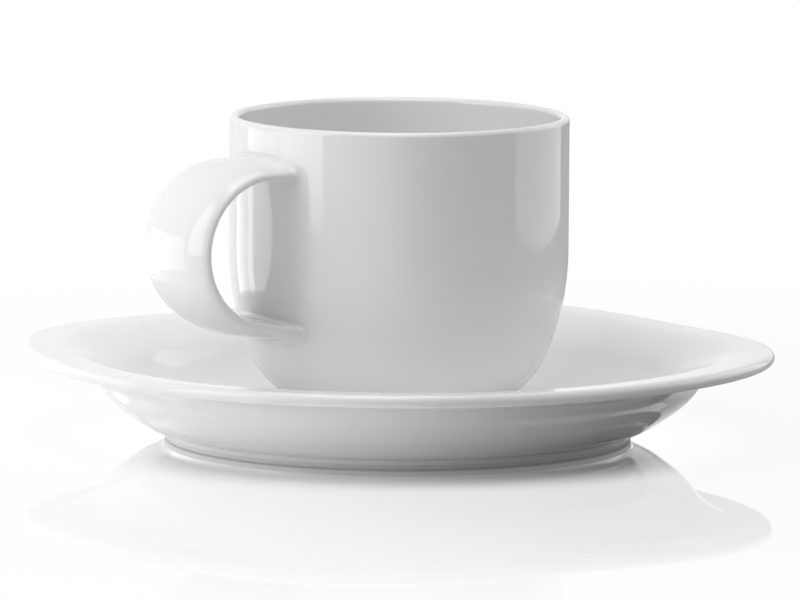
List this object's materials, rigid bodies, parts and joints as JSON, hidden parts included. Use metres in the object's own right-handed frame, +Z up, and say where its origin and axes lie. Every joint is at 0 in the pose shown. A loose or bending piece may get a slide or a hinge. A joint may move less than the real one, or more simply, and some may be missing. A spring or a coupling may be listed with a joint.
{
  "type": "coffee cup with saucer",
  "caption": "White glazed porcelain coffee cup with a straight wall, a rounded base and a strap handle, standing in the seat of a saucer whose brim is a soft square.",
  "frame": {"origin": "centre of the saucer's foot ring, on the table that it stands on", "axes": "+Z up along the axis of cup and saucer, -X towards the cup's handle and square to a side of the saucer"},
  "size_m": [0.16, 0.16, 0.0737],
  "materials": {
    "saucer_glaze": "white hard-paste porcelain under a clear gloss glaze, foot ring ground bare",
    "cup_glaze": "white hard-paste porcelain under a clear gloss glaze, foot ring ground bare",
    "handle_glaze": "white hard-paste porcelain under a clear gloss glaze"
  },
  "bodies": {
    "saucer": {"saucer": "saucer_glaze"},
    "cup": {"cup_body": "cup_glaze", "cup_handle": "handle_glaze"}
  },
  "joints": [
    {"name": "cup_lift", "type": "slide", "parent": "saucer", "child": "cup", "axis": [0, 0, 1], "range_m": [0, 0.12]}
  ]
}
